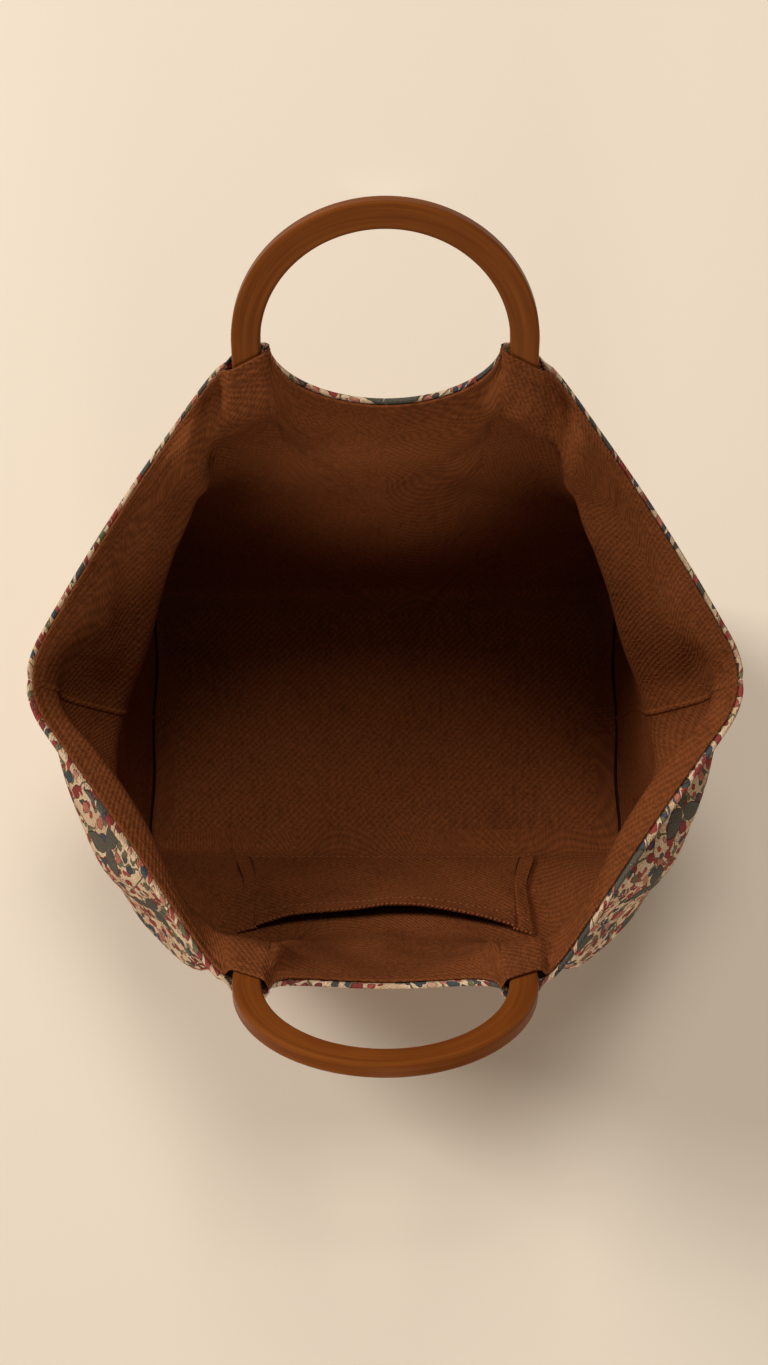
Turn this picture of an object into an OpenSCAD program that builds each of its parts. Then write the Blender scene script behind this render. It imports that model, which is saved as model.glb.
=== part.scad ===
// Carpet bag: an open tapestry tote with two bent wood handles, standing on its flat base.
// Millimetres. X runs side to side, -Y is the front with the pocket, Z is up from the base.

/* [Base] */
// Width of the flat base between the boxed side seams
base_width = 325; // [290:5:360]
// Depth of the flat base from front to back
base_depth = 188; // [160:2:216]

/* [Rim] */
// Height of the back rim at its two peaks
back_height = 351; // [330:1:375]
// Height of the front rim at its two peaks
front_height = 277; // [260:1:300]
// Height of the rim where the side seams end
side_height = 205; // [190:1:225]
// How far the back peaks stand out past the base
back_reach = 47; // [38:1:56]
// How far the front peaks stand out past the base
front_reach = 110; // [98:1:122]
// How far the side points stand out past the base
side_reach = 59.5; // [50:0.5:70]
// Depth of the scooped back edge between its two peaks
back_scoop = 37; // [32:1:42]
// Depth of the scooped front edge between its two peaks
front_scoop = 31; // [26:1:36]
// Fall of the rim along the mouth of a handle tunnel
slot_drop = 17; // [13:1:20]
// Forward sag of the front scoop
front_bow = 13; // [8:1:18]
// Outward bow of the long back edges
back_bow = 5; // [0:1:9]

/* [Folds] */
// Swell of the upper wall beside the front corners
corner_swell = 25; // [18:1:32]
// Tuck of the wall under the turned-out front lip
lip_tuck = 27; // [20:1:30]
// Swell of the lower wall past the base corners
low_swell = 15; // [8:1:20]
// Length of straight cloth that holds a handle limb
cuff = 42; // [40:1:45]

/* [Cloth] */
// Thickness of the tapestry with its backing
tapestry_thickness = 2.2; // [1.6:0.1:3]
// Thickness of the canvas lining
lining_thickness = 1.2; // [0.8:0.1:1.6]
// Space between tapestry and lining where they are sewn together
layer_gap = 0.4; // [0.2:0.1:0.7]
// Height of bare tapestry edge above the lining, as a share of the wall
bare_edge = 0.012; // [0.008:0.001:0.02]

/* [Handles] */
// Outside diameter of a handle's bend
handle_diameter = 168; // [156:2:180]
// Width of the handle band across the bend
handle_band = 16; // [13:0.5:18]
// Thickness of the handle board
handle_thickness = 8.5; // [7:0.5:10]
// Rounding of the handle's long edges
handle_edge = 1.75; // [1:0.25:3]
// Straight limb below the bend
limb_length = 25; // [22:1:26]
// Outward lean of the back handle
back_lean = 39.5; // [35:0.5:44]
// Outward lean of the front handle
front_lean = 36; // [31:0.5:41]
// Rise of the back bend's centre above the peaks
back_rise = 1.5; // [0:0.5:3]
// Rise of the front bend's centre above the peaks, below 0 where it lies under them
front_rise = -8; // [-10:0.5:-6]
// Clearance round a limb inside its tunnel
limb_clearance = 0.7; // [0.4:0.1:0.9]

/* [Pocket] */
// Width of the patch pocket
pocket_width = 200; // [170:5:210]
// Thickness of the pocket cloth
pocket_thickness = 1.4; // [1:0.1:2]
// How far the pocket mouth stands open
pocket_gape = 8; // [5:1:11]
// Space between the pocket's sewn edge and the lining
pocket_gap = 0.6; // [0.4:0.1:0.9]

/* [Hidden] */

hw = base_width / 2;
hd = base_depth / 2;
floor_z = tapestry_thickness + layer_gap / 2;
// Width of the ring of base inside its edge, which the floor closes
base_ring = 16;
// Station of the side seam, and half the space between the two panels there
seam_at = 2.988;
seam_half = 0.0008;

limb_x = (handle_diameter - handle_band) / 2;
// A tunnel is fully open past a limb's sides and end by these, and then closes over the fall.
tunnel_side = 1.3;
tunnel_end = 12;
tunnel_fall = 3.3;
// Rim that runs on past a limb before it turns to the side
slot_margin = 10;
tunnel_half = handle_band / 2 + tunnel_side;
slot_in = limb_x - tunnel_half - tunnel_fall;
slot_out = limb_x + handle_band / 2 + slot_margin;

back_dir = [0, sin(back_lean), cos(back_lean)];
front_dir = [0, -sin(front_lean), cos(front_lean)];
back_peak = [slot_in, hd + back_reach, back_height];
front_peak = [slot_in, -hd - front_reach, front_height];
back_slot = back_peak + [slot_out - slot_in, 0, 0] - slot_drop * back_dir;
front_slot = front_peak + [slot_out - slot_in, 0, 0] - slot_drop * front_dir;
side_point = [hw + side_reach, -0.19 * hd, side_height];
back_mid = (back_slot + side_point) / 2 + back_bow * [0.75, 0.65, 0];

// Stations round half the bag: 0 back centre, 1 back peak, 2 back tunnel end, 3 side seam,
// 4 front tunnel end, 5 front peak, 6 front centre. Each row: station, value, softness of the bend.
rim_line = [
    [1, back_peak, 0], [2, back_slot, 0.12], [2.5, back_mid, 0.3], [3, side_point, 0.16],
    [4, front_slot, 0.12], [5, front_peak, 0]];

function base_line(i) = [
    [0, [0, hd - i, floor_z], 0], [1, [slot_in, hd - i, floor_z], 0], [2, [slot_out, hd - i, floor_z], 0],
    [2.42, [hw - i, hd - i, floor_z], 0.08], [3, [hw - i, 0, floor_z], 0],
    [3.58, [hw - i, i - hd, floor_z], 0.08], [4, [slot_out, i - hd, floor_z], 0],
    [5, [slot_in, i - hd, floor_z], 0], [6, [0, i - hd, floor_z], 0]];
base_edge = base_line(0);
base_inset = base_line(base_ring);

low_z = 0.256 * back_height;
low_line = [
    [0, [0, 1.15 * hd, low_z], 0], [1, [slot_in, 1.15 * hd, low_z], 0.3],
    [2, [slot_out, 1.14 * hd, low_z], 0.3],
    [2.42, [hw + low_swell, 1.15 * hd, 0.9 * low_z], 0.2],
    [3, [hw + 0.4 * low_swell, -0.04 * hd, 0.74 * low_z], 0.2],
    [3.58, [hw + low_swell, -1.19 * hd, 0.67 * low_z], 0.2],
    [4, [1.09 * slot_out, -1.36 * hd, 0.67 * low_z], 0.3],
    [5, [slot_in, -1.36 * hd, 0.67 * low_z], 0.3], [6, [0, -1.36 * hd, 0.67 * low_z], 0]];

fold_line = [
    [0, [0, 1.21 * hd, 0.6 * back_height], 0], [1, [slot_in, 1.27 * hd, 0.73 * back_height], 0.3],
    [2, [0.97 * slot_out, 1.21 * hd, 0.84 * back_height], 0.1],
    [2.25, [0.66 * hw, 0.98 * hd, 0.764 * back_height], 0.1],
    [2.5, [0.78 * hw, 0.57 * hd, 0.627 * back_height], 0.1],
    [2.8, [0.92 * hw, 0.11 * hd, 0.47 * back_height], 0.1],
    [3, [1.04 * hw, -0.23 * hd, 0.64 * side_height], 0.1],
    [3.35, [1.055 * hw, -0.81 * hd, 0.62 * side_height], 0.12],
    [3.62, [1.02 * hw, -1.45 * hd, 0.41 * front_height], 0.15],
    [4, [1.31 * slot_out, -1.98 * hd, 0.46 * front_height], 0.2],
    [5, [1.06 * slot_in, -1.77 * hd, 0.44 * front_height], 0.3],
    [6, [0, -1.7 * hd, 0.425 * front_height], 0]];

swell_line = [
    [0, 0, 0], [2.75, 0, 0.12], [3, 0.35 * corner_swell, 0.1], [3.25, corner_swell, 0.12],
    [3.62, 0.7 * corner_swell, 0.12], [4, 0.6 * corner_swell, 0.12], [5, 0.2 * corner_swell, 0.12],
    [6, 0, 0]];
tuck_line = [
    [0, 0, 0], [2.9, 0, 0.08], [3.3, 0.7 * lip_tuck, 0.12],
    [3.62, lip_tuck, 0.12], [3.85, lip_tuck, 0.1], [4.05, 0.5 * lip_tuck, 0.1], [6, 0, 0]];
facing_line = [
    [0, 90, 0], [1.6, 90, 0.25], [2.5, 40, 0.25], [3, 0, 0.25], [3.5, -40, 0.25], [4.4, -90, 0.25],
    [6, -90, 0]];
cuff_line = [
    [0, 0, 0], [0.25, 0, 0.2], [0.8, 1, 0.15], [2.1, 1, 0.1], [2.45, 0, 0.1], [3.55, 0, 0.1], [3.9, 1, 0.1],
    [5.2, 1, 0.15], [5.75, 0, 0.2], [6, 0, 0]];

// Heights up the wall, as a share: base inset below 0, base edge at 0, rim at 1.
heights = [-0.12, -0.045, 0.02, 0.12, 0.24, 0.36, 0.45, 0.5, 0.55, 0.64, 0.72, 0.78, 0.83, 0.88, 0.92, 0.96];
// Shares of the stations across a tunnel: its open sides, its middle and its closed outer side.
function across(x) = (x - slot_in) / (slot_out - slot_in);
tunnel_shares = [
    0, across(limb_x - tunnel_half), across(limb_x), across(limb_x + tunnel_half),
    across(limb_x + tunnel_half + tunnel_fall)];
even_steps = [for (k = [5, 7, 8]) [for (i = [0:k - 1]) i / k]];
half_stations = concat(
    even_steps[0], [for (t = tunnel_shares) 1 + t], [for (t = even_steps[1]) 2 + t],
    [seam_at], [for (t = even_steps[2]) if (t > 0) 3 + t],
    [4], [for (i = [4:-1:1]) 5 - tunnel_shares[i]], [for (t = even_steps[0]) 5 + t]);
loop_stations = concat(half_stations, [6], [for (i = [len(half_stations) - 1:-1:1]) 12 - half_stations[i]]);

// A bend that starts at -h and is straight past h.
function ramp(x, h) = h <= 0 ? max(x, 0) : x < -h ? 0 : x > h ? x : (x + h) * (x + h) / (4 * h);

// A line through each row's value, its corners rounded by each row's softness.
function soft(rows, t) =
    let (n = len(rows) - 1,
         s = [for (i = [0:n - 1]) (rows[i + 1][1] - rows[i][1]) / (rows[i + 1][0] - rows[i][0])],
         ones = [for (i = [1:n - 1]) 1])
    rows[0][1] + s[0] * (t - rows[0][0])
    + ones * [for (i = [1:n - 1]) (s[i] - s[i - 1]) * ramp(t - rows[i][0], rows[i][2])];

function unit(a) = a / norm(a);
function mirrored(p) = [-p.x, p.y, p.z];
function scoop(peak, dir, s, depth, bow) =
    let (c = cos(90 * s)) [peak.x * sin(90 * s), peak.y, peak.z] - dir * depth * c - [0, bow * c * c, 0];
function rim(w) =
    w < 1 ? scoop(back_peak, back_dir, w, back_scoop, 0)
    : w > 5 ? scoop(front_peak, front_dir, 6 - w, front_scoop, front_bow)
    : soft(rim_line, w);

// The wall's profile at a station, from the base inset to the rim.
function half_profile(w) =
    let (r = rim(w), m = soft(fold_line, w), a = soft(facing_line, w), o = [cos(a), sin(a), 0],
         dir = w < 3 ? back_dir : front_dir, k = soft(cuff_line, w),
         u = m + (r - m) * 0.55 + o * soft(swell_line, w),
         n = m + (r - m) * 0.82 - o * soft(tuck_line, w))
    [[-0.12, soft(base_inset, w), 0], [0, soft(base_edge, w), 0.05],
     [0.24, soft(low_line, w), 0.1], [0.5, m, 0.03],
     [0.72, u + (r - dir * cuff - u) * k, 0.09], [0.88, n + (r - dir * cuff * 0.4 - n) * k, 0.05], [1, r, 0]];

function profile(w) =
    let (x = w < 0 ? w + 12 : w >= 12 ? w - 12 : w)
    x <= 6 ? half_profile(x) : [for (row = half_profile(12 - x)) [row[0], mirrored(row[1]), row[2]]];

// Half the opening between tapestry and lining: wide where a handle limb lies, sewn shut elsewhere.
function half_gap(p, back) =
    let (dir = back ? back_dir : front_dir, peak = back ? back_peak : front_peak,
         rise = back ? back_rise : front_rise,
         q = (p - [0, peak.y, peak.z]) * dir,
         dx = max(abs(abs(p.x) - limb_x) - tunnel_half, 0),
         dq = max(rise - limb_length - tunnel_end - q, 0),
         d = min(norm([dx, dq]) / tunnel_fall, 1))
    layer_gap / 2 + (handle_thickness / 2 + limb_clearance - layer_gap / 2) * (1 + cos(180 * d)) / 2;

// Point, outward normal and half gap at a station and height.
function frame_at(p, before, after, v, back) =
    let (e = 0.004, low = max(v - e, -0.12), high = min(v + e, 1), at = soft(p, v))
    [at, unit(cross(soft(p, high) - soft(p, low), soft(after, v) - soft(before, v))), half_gap(at, back)];

function column(w, rows) =
    let (e = 0.01, p = profile(w), before = profile(w - e), after = profile(w + e), back = w < 3 || w > 9)
    [for (v = rows) frame_at(p, before, after, v, back)];

function pushed(columns, gap_share, depth) =
    [for (c = columns) for (f = c) f[0] + f[1] * (gap_share * f[2] + depth)];

function strip_faces(i, j, rows, off) =
    let (a = i * rows, b = j * rows)
    [for (k = [0:rows - 2]) each [
        [a + k, b + k, b + k + 1], [a + k, b + k + 1, a + k + 1],
        [off + a + k, off + b + k + 1, off + b + k], [off + a + k, off + a + k + 1, off + b + k + 1]]];
function top_faces(i, j, rows, off) =
    let (a = i * rows + rows - 1, b = j * rows + rows - 1) [[a, b, off + b], [a, off + b, off + a]];
function start_faces(rows, off) =
    [for (k = [0:rows - 2]) each [[k, k + 1, off + k + 1], [k, off + k + 1, off + k]]];
function end_faces(c, rows, off) =
    let (a = (c - 1) * rows)
    [for (k = [0:rows - 2])
        each [[a + k, off + a + k + 1, a + k + 1], [a + k, off + a + k, off + a + k + 1]]];

// A sheet between an outer and an inner grid of points, closed round its edges.
// With a floor it also spans the base.
module sheet(outer, inner, count, rows, closed, with_floor) {
    off = count * rows;
    last = closed ? count - 1 : count - 2;
    sides = [for (i = [0:last]) each concat(
        strip_faces(i, (i + 1) % count, rows, off), top_faces(i, (i + 1) % count, rows, off))];
    ends = closed ? [] : concat(start_faces(rows, off), end_faces(count, rows, off));
    far = (count - 1) * rows;
    opposite = closed ? count / 2 * rows : far;
    under_mid = 2 * off;
    floor_mid = under_mid + 1;
    seam = closed ? [] : [
        [under_mid, 0, off], [under_mid, off, floor_mid],
        [floor_mid, off + far, far], [floor_mid, far, under_mid]];
    under = with_floor
        ? concat(seam, [for (i = [0:last]) let (a = i * rows, b = (i + 1) % count * rows)
            each [[under_mid, b, a], [floor_mid, off + a, off + b]]])
        : [for (i = [0:count - 2]) let (a = i * rows, b = a + rows)
            each [[a, off + b, b], [a, off + a, off + b]]];
    mids = with_floor ? [(outer[0] + outer[opposite]) / 2, (inner[0] + inner[opposite]) / 2] : [];
    polyhedron(concat(outer, inner, mids), concat(sides, ends, under));
}

module tapestry(stations) {
    rows = concat(heights, [1]);
    columns = [for (w = stations) column(w, rows)];
    outer = pushed(columns, 1, tapestry_thickness);
    sheet(outer, pushed(columns, 1, 0), len(columns), len(rows), false, true);
}

module outer_back_panel() {
    half = [for (w = half_stations) if (w < seam_at) w];
    right = concat(half, [seam_at - seam_half]);
    color("BurlyWood")
        tapestry(concat([for (i = [len(right) - 1:-1:1]) 12 - right[i]], right));
}

module outer_front_panel() {
    half = [for (w = half_stations) if (w > seam_at) w];
    right = concat([seam_at + seam_half], half);
    color("Tan")
        tapestry(concat(right, [6], [for (i = [len(right) - 1:-1:0]) 12 - right[i]]));
}

module lining() {
    rows = concat(heights, [1 - bare_edge]);
    columns = [for (w = loop_stations) column(w, rows)];
    inner = pushed(columns, -1, -lining_thickness);
    color("SaddleBrown")
        sheet(pushed(columns, -1, 0), inner, len(columns), len(rows), true, true);
}

// The pocket follows the front wall: its station at a wanted distance from the centre line.
function pocket_station(x) =
    x <= slot_in ? 6 - x / slot_in
    : x <= slot_out ? 5 - (x - slot_in) / (slot_out - slot_in)
    : 4 - 0.42 * (x - slot_out) / (hw - slot_out);
function pocket_fit(x, v) =
    x < 1 ? 6 : let (first = soft(profile(pocket_station(x)), v).x) pocket_station(x * x / first);

// Each row lies on the lining's own rows or half way between two of them.
pocket_rows = [
    [0.05, 0.05], [0.12, 0.12], [0.12, 0.24], [0.24, 0.24], [0.24, 0.36], [0.36, 0.36], [0.42, 0.42]];

module inner_pocket() {
    shares = [for (i = [-7:7]) i / 7];
    last = len(pocket_rows) - 1;
    function lift(s, t) = pocket_gape * (1 - s * s) * t * t;
    function wall_frame(s, v) =
        let (w = pocket_fit(abs(s) * pocket_width / 2, v)) column(s < 0 ? 12 - w : w, [v])[0];
    frames = [for (s = -shares) [for (j = [0:last])
        let (f = (wall_frame(s, pocket_rows[j][0]) + wall_frame(s, pocket_rows[j][1])) / 2,
             depth = f[2] + lining_thickness + pocket_gap + lift(s, j / last))
        [f[0] - f[1] * depth, f[0] - f[1] * (depth + pocket_thickness)]]];
    outer = [for (c = frames) for (f = c) f[0]];
    inner = [for (c = frames) for (f = c) f[1]];
    color("Sienna") sheet(outer, inner, len(shares), len(pocket_rows), false, false);
}

module band_section() {
    square([handle_band - 2 * handle_edge, handle_thickness], center = true);
    square([handle_band, handle_thickness - 2 * handle_edge], center = true);
    for (x = [-1, 1], y = [-1, 1])
        translate([x * (handle_band / 2 - handle_edge), y * (handle_thickness / 2 - handle_edge)])
            circle(r = handle_edge, $fn = 32);
}

module handle() {
    rotate([90, 0, 0])
        rotate_extrude(angle = 180, $fn = 128) translate([limb_x, 0]) band_section();
    for (side = [-1, 1])
        translate([side * limb_x, 0, -limb_length]) linear_extrude(limb_length) band_section();
}

module back_handle() {
    color("Peru")
        translate([0, back_peak.y, back_peak.z] + back_rise * back_dir)
            rotate([-back_lean, 0, 0]) handle();
}

module front_handle() {
    color("Peru")
        translate([0, front_peak.y, front_peak.z] + front_rise * front_dir)
            rotate([front_lean, 0, 0]) handle();
}

outer_back_panel();
outer_front_panel();
lining();
inner_pocket();
back_handle();
front_handle();
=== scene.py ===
import math

import bpy
import numpy as np
from mathutils import Matrix


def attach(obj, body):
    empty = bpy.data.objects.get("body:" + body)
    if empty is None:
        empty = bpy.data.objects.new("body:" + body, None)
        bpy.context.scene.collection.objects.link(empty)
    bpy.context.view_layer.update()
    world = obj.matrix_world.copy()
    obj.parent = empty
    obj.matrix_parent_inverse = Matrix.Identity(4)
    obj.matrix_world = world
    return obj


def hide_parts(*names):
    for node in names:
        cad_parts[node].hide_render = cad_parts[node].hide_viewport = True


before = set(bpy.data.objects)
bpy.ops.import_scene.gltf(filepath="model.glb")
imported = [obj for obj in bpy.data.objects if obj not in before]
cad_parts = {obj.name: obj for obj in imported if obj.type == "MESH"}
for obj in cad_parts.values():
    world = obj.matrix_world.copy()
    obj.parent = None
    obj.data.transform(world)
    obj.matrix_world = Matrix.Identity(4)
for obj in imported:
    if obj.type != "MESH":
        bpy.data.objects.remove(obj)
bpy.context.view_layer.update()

# Lengths below are in millimetres, as in the part's source; a mesh gets them times MM, in metres.
MM = 0.001


def new_object(name, data):
    """An object with its data, linked into the scene."""
    obj = bpy.data.objects.new(name, data)
    bpy.context.scene.collection.objects.link(obj)
    return obj


def set_pose(obj, right, up, toward, place):
    """Sets an object's pose from its three axes and its place in metres."""
    matrix = np.eye(4)
    matrix[:3, :] = np.column_stack([right, up, toward, place])
    obj.matrix_world = Matrix(matrix.tolist())


# Camera, at the photograph's angle and frame

PHOTO_HEIGHT = 1365
PHOTO_CENTRE = (384.0, 682.5)
ORIGIN_PIXEL = (385.0, 720.0)
VIEW_ELEVATION = 78.0
VIEW_DISTANCE = 1400.0
BASE_PIXELS_PER_MM = 462.0 / 325.0
SENSOR_HEIGHT = 36.0


def aim_camera():
    """Camera on a ray raised by the view's elevation, shifted so that the origin lands on its pixel."""
    tilt = math.radians(VIEW_ELEVATION)
    right = np.array([1.0, 0.0, 0.0])
    up = np.array([0.0, math.sin(tilt), math.cos(tilt)])
    toward = np.array([0.0, -math.cos(tilt), math.sin(tilt)])
    across = (PHOTO_CENTRE[0] - ORIGIN_PIXEL[0]) / BASE_PIXELS_PER_MM
    rise = (ORIGIN_PIXEL[1] - PHOTO_CENTRE[1]) / BASE_PIXELS_PER_MM
    place = VIEW_DISTANCE * toward + across * right + rise * up
    data = bpy.data.cameras.new("camera")
    data.sensor_fit = "VERTICAL"
    data.sensor_height = SENSOR_HEIGHT
    data.lens = SENSOR_HEIGHT * BASE_PIXELS_PER_MM * VIEW_DISTANCE / PHOTO_HEIGHT
    camera = new_object("camera", data)
    set_pose(camera, right, up, toward, place * MM)
    bpy.context.scene.camera = camera


aim_camera()


# Sizes of the bag

BASE_WIDTH = 325.0
BASE_DEPTH = 188.0
BACK_HEIGHT = 351.0
FRONT_HEIGHT = 277.0
SIDE_HEIGHT = 205.0
BACK_REACH = 47.0
FRONT_REACH = 110.0
SIDE_REACH = 59.5
BACK_SCOOP = 37.0
FRONT_SCOOP = 31.0
SLOT_DROP = 17.0
FRONT_BOW = 13.0
BACK_BOW = 5.0
CORNER_SWELL = 25.0
LIP_TUCK = 27.0
LOW_SWELL = 15.0
CUFF = 42.0
# Shares of the way from the fold to the rim where the swell and the tuck lie, and of the cuff at the tuck
SWELL_SHARE = 0.55
TUCK_SHARE = 0.82
TUCK_CUFF = 0.4
BASE_RING = 16.0
TAPESTRY_THICKNESS = 2.2
LINING_THICKNESS = 1.2
LAYER_GAP = 0.4
BARE_EDGE = 0.012
HANDLE_DIAMETER = 168.0
HANDLE_BAND = 16.0
HANDLE_THICKNESS = 8.5
HANDLE_EDGE = 1.75
LIMB_LENGTH = 25.0
LIMB_CLEARANCE = 0.7
BACK_LEAN = math.radians(39.5)
FRONT_LEAN = math.radians(36.0)
BACK_RISE = 1.5
FRONT_RISE = -8.0
TUNNEL_SIDE = 1.3
TUNNEL_END = 12.0
TUNNEL_FALL = 3.3
TUNNEL_EASE = 16.0
SLACK_EASE = 5.0
# Where a tunnel's fall grows by its ease, measured up the handle's lean from the peak
EASE_SPAN = (-12.0, -40.0)
SLOT_MARGIN = 10.0
POCKET_WIDTH = 200.0
POCKET_THICKNESS = 1.4
POCKET_GAPE = 8.0
POCKET_GAP = 0.6
POCKET_ROWS = (0.05, 0.42)

HALF_WIDTH = BASE_WIDTH / 2
HALF_DEPTH = BASE_DEPTH / 2
FLOOR_Z = LAYER_GAP / 2 + TAPESTRY_THICKNESS
LIMB_X = (HANDLE_DIAMETER - HANDLE_BAND) / 2
TUNNEL_HALF = HANDLE_BAND / 2 + TUNNEL_SIDE
SLOT_IN = LIMB_X - TUNNEL_HALF - TUNNEL_FALL
SLOT_OUT = LIMB_X + HANDLE_BAND / 2 + SLOT_MARGIN
LOW_Z = 0.256 * BACK_HEIGHT
LAP = 12.0
SIDE_STATION = 3.0
SEAM_STATION = 2.988
SEAM_HALF = 0.0008
LOWEST, HIGHEST = -0.12, 1.0


def point(x, y, z):
    """A point or direction, as an array."""
    return np.array([x, y, z], float)


BACK_DIR = point(0, math.sin(BACK_LEAN), math.cos(BACK_LEAN))
FRONT_DIR = point(0, -math.sin(FRONT_LEAN), math.cos(FRONT_LEAN))
BACK_PEAK = point(SLOT_IN, HALF_DEPTH + BACK_REACH, BACK_HEIGHT)
FRONT_PEAK = point(SLOT_IN, -HALF_DEPTH - FRONT_REACH, FRONT_HEIGHT)
BACK_SLOT = BACK_PEAK + point(SLOT_OUT - SLOT_IN, 0, 0) - SLOT_DROP * BACK_DIR
FRONT_SLOT = FRONT_PEAK + point(SLOT_OUT - SLOT_IN, 0, 0) - SLOT_DROP * FRONT_DIR
SIDE_POINT = point(HALF_WIDTH + SIDE_REACH, -0.19 * HALF_DEPTH, SIDE_HEIGHT)
BACK_MID = (BACK_SLOT + SIDE_POINT) / 2 + BACK_BOW * point(0.75, 0.65, 0)

# Stations round half the bag: 0 back centre, 1 back peak, 2 back tunnel end, 3 side seam,
# 4 front tunnel end, 5 front peak, 6 front centre; from 6 to LAP they run back along the mirrored half.
# Each row: station, value, softness of the bend.
RIM_LINE = [
    (1, BACK_PEAK, 0), (2, BACK_SLOT, 0.12), (2.5, BACK_MID, 0.3), (3, SIDE_POINT, 0.16),
    (4, FRONT_SLOT, 0.12), (5, FRONT_PEAK, 0)]


def base_line(inset):
    """The base's outline, moved inwards by inset."""
    x, y = HALF_WIDTH - inset, HALF_DEPTH - inset
    return [
        (0, point(0, y, FLOOR_Z), 0), (1, point(SLOT_IN, y, FLOOR_Z), 0),
        (2, point(SLOT_OUT, y, FLOOR_Z), 0), (2.42, point(x, y, FLOOR_Z), 0.08),
        (3, point(x, 0, FLOOR_Z), 0), (3.58, point(x, -y, FLOOR_Z), 0.08),
        (4, point(SLOT_OUT, -y, FLOOR_Z), 0), (5, point(SLOT_IN, -y, FLOOR_Z), 0),
        (6, point(0, -y, FLOOR_Z), 0)]


BASE_EDGE = base_line(0)
BASE_INSET = base_line(BASE_RING)
LOW_LINE = [
    (0, point(0, 1.15 * HALF_DEPTH, LOW_Z), 0), (1, point(SLOT_IN, 1.15 * HALF_DEPTH, LOW_Z), 0.3),
    (2, point(SLOT_OUT, 1.14 * HALF_DEPTH, LOW_Z), 0.3),
    (2.42, point(HALF_WIDTH + LOW_SWELL, 1.15 * HALF_DEPTH, 0.9 * LOW_Z), 0.2),
    (3, point(HALF_WIDTH + 0.4 * LOW_SWELL, -0.04 * HALF_DEPTH, 0.74 * LOW_Z), 0.2),
    (3.58, point(HALF_WIDTH + LOW_SWELL, -1.19 * HALF_DEPTH, 0.67 * LOW_Z), 0.2),
    (4, point(1.09 * SLOT_OUT, -1.36 * HALF_DEPTH, 0.67 * LOW_Z), 0.3),
    (5, point(SLOT_IN, -1.36 * HALF_DEPTH, 0.67 * LOW_Z), 0.3),
    (6, point(0, -1.36 * HALF_DEPTH, 0.67 * LOW_Z), 0)]
FOLD_LINE = [
    (0, point(0, 1.21 * HALF_DEPTH, 0.6 * BACK_HEIGHT), 0),
    (1, point(SLOT_IN, 1.27 * HALF_DEPTH, 0.73 * BACK_HEIGHT), 0.3),
    (2, point(0.97 * SLOT_OUT, 1.21 * HALF_DEPTH, 0.84 * BACK_HEIGHT), 0.1),
    (2.25, point(0.66 * HALF_WIDTH, 0.98 * HALF_DEPTH, 0.764 * BACK_HEIGHT), 0.1),
    (2.5, point(0.78 * HALF_WIDTH, 0.57 * HALF_DEPTH, 0.627 * BACK_HEIGHT), 0.1),
    (2.8, point(0.92 * HALF_WIDTH, 0.11 * HALF_DEPTH, 0.47 * BACK_HEIGHT), 0.1),
    (3, point(1.04 * HALF_WIDTH, -0.23 * HALF_DEPTH, 0.64 * SIDE_HEIGHT), 0.1),
    (3.35, point(1.055 * HALF_WIDTH, -0.81 * HALF_DEPTH, 0.62 * SIDE_HEIGHT), 0.12),
    (3.62, point(1.02 * HALF_WIDTH, -1.45 * HALF_DEPTH, 0.41 * FRONT_HEIGHT), 0.15),
    (4, point(1.31 * SLOT_OUT, -1.98 * HALF_DEPTH, 0.46 * FRONT_HEIGHT), 0.2),
    (5, point(1.06 * SLOT_IN, -1.77 * HALF_DEPTH, 0.44 * FRONT_HEIGHT), 0.3),
    (6, point(0, -1.7 * HALF_DEPTH, 0.425 * FRONT_HEIGHT), 0)]
SWELL_LINE = [
    (0, 0, 0), (2.75, 0, 0.12), (3, 0.35, 0.1), (3.25, 1, 0.12), (3.62, 0.7, 0.12), (4, 0.6, 0.12),
    (5, 0.2, 0.12), (6, 0, 0)]
TUCK_LINE = [
    (0, 0, 0), (2.9, 0, 0.08), (3.3, 0.7, 0.12), (3.62, 1, 0.12), (3.85, 1, 0.1), (4.05, 0.5, 0.1),
    (6, 0, 0)]
FACING_LINE = [
    (0, 90, 0), (1.6, 90, 0.25), (2.5, 40, 0.25), (3, 0, 0.25), (3.5, -40, 0.25), (4.4, -90, 0.25),
    (6, -90, 0)]
CUFF_LINE = [
    (0, 0, 0), (0.25, 0, 0.2), (0.8, 1, 0.15), (2.1, 1, 0.1), (2.45, 0, 0.1), (3.55, 0, 0.1), (3.9, 1, 0.1),
    (5.2, 1, 0.15), (5.75, 0, 0.2), (6, 0, 0)]


# The bag's wall as a surface of station and height

def ramp(x, h):
    """Zero below -h, x above h, and between them the parabola (x + h)^2 / 4h that joins the two."""
    h = max(h, 1e-9)
    return np.where(x <= -h, 0.0, np.where(x >= h, x, (x + h) ** 2 / (4 * h)))


def soft_line(rows, t):
    """Straight runs through each row's value, each change of slope spread by a ramp of the row's softness."""
    slopes = [(b[1] - a[1]) / (b[0] - a[0]) for a, b in zip(rows, rows[1:])]
    line = rows[0][1] + slopes[0] * (t - rows[0][0])
    for (knot, _, softness), before, after in zip(rows[1:-1], slopes, slopes[1:]):
        line = line + (after - before) * ramp(t - knot, softness)
    return line


def smooth(low, high, x):
    """Rises from 0 at low to 1 at high as 3t^2 - 2t^3."""
    t = np.clip((x - low) / (high - low), 0, 1)
    return t * t * (3 - 2 * t)


def bell(x):
    """The bell curve exp(-x^2)."""
    return np.exp(-np.square(x))


def unit(a):
    """Vectors of length one along the last axis."""
    return a / np.linalg.norm(a, axis=-1, keepdims=True)


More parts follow.
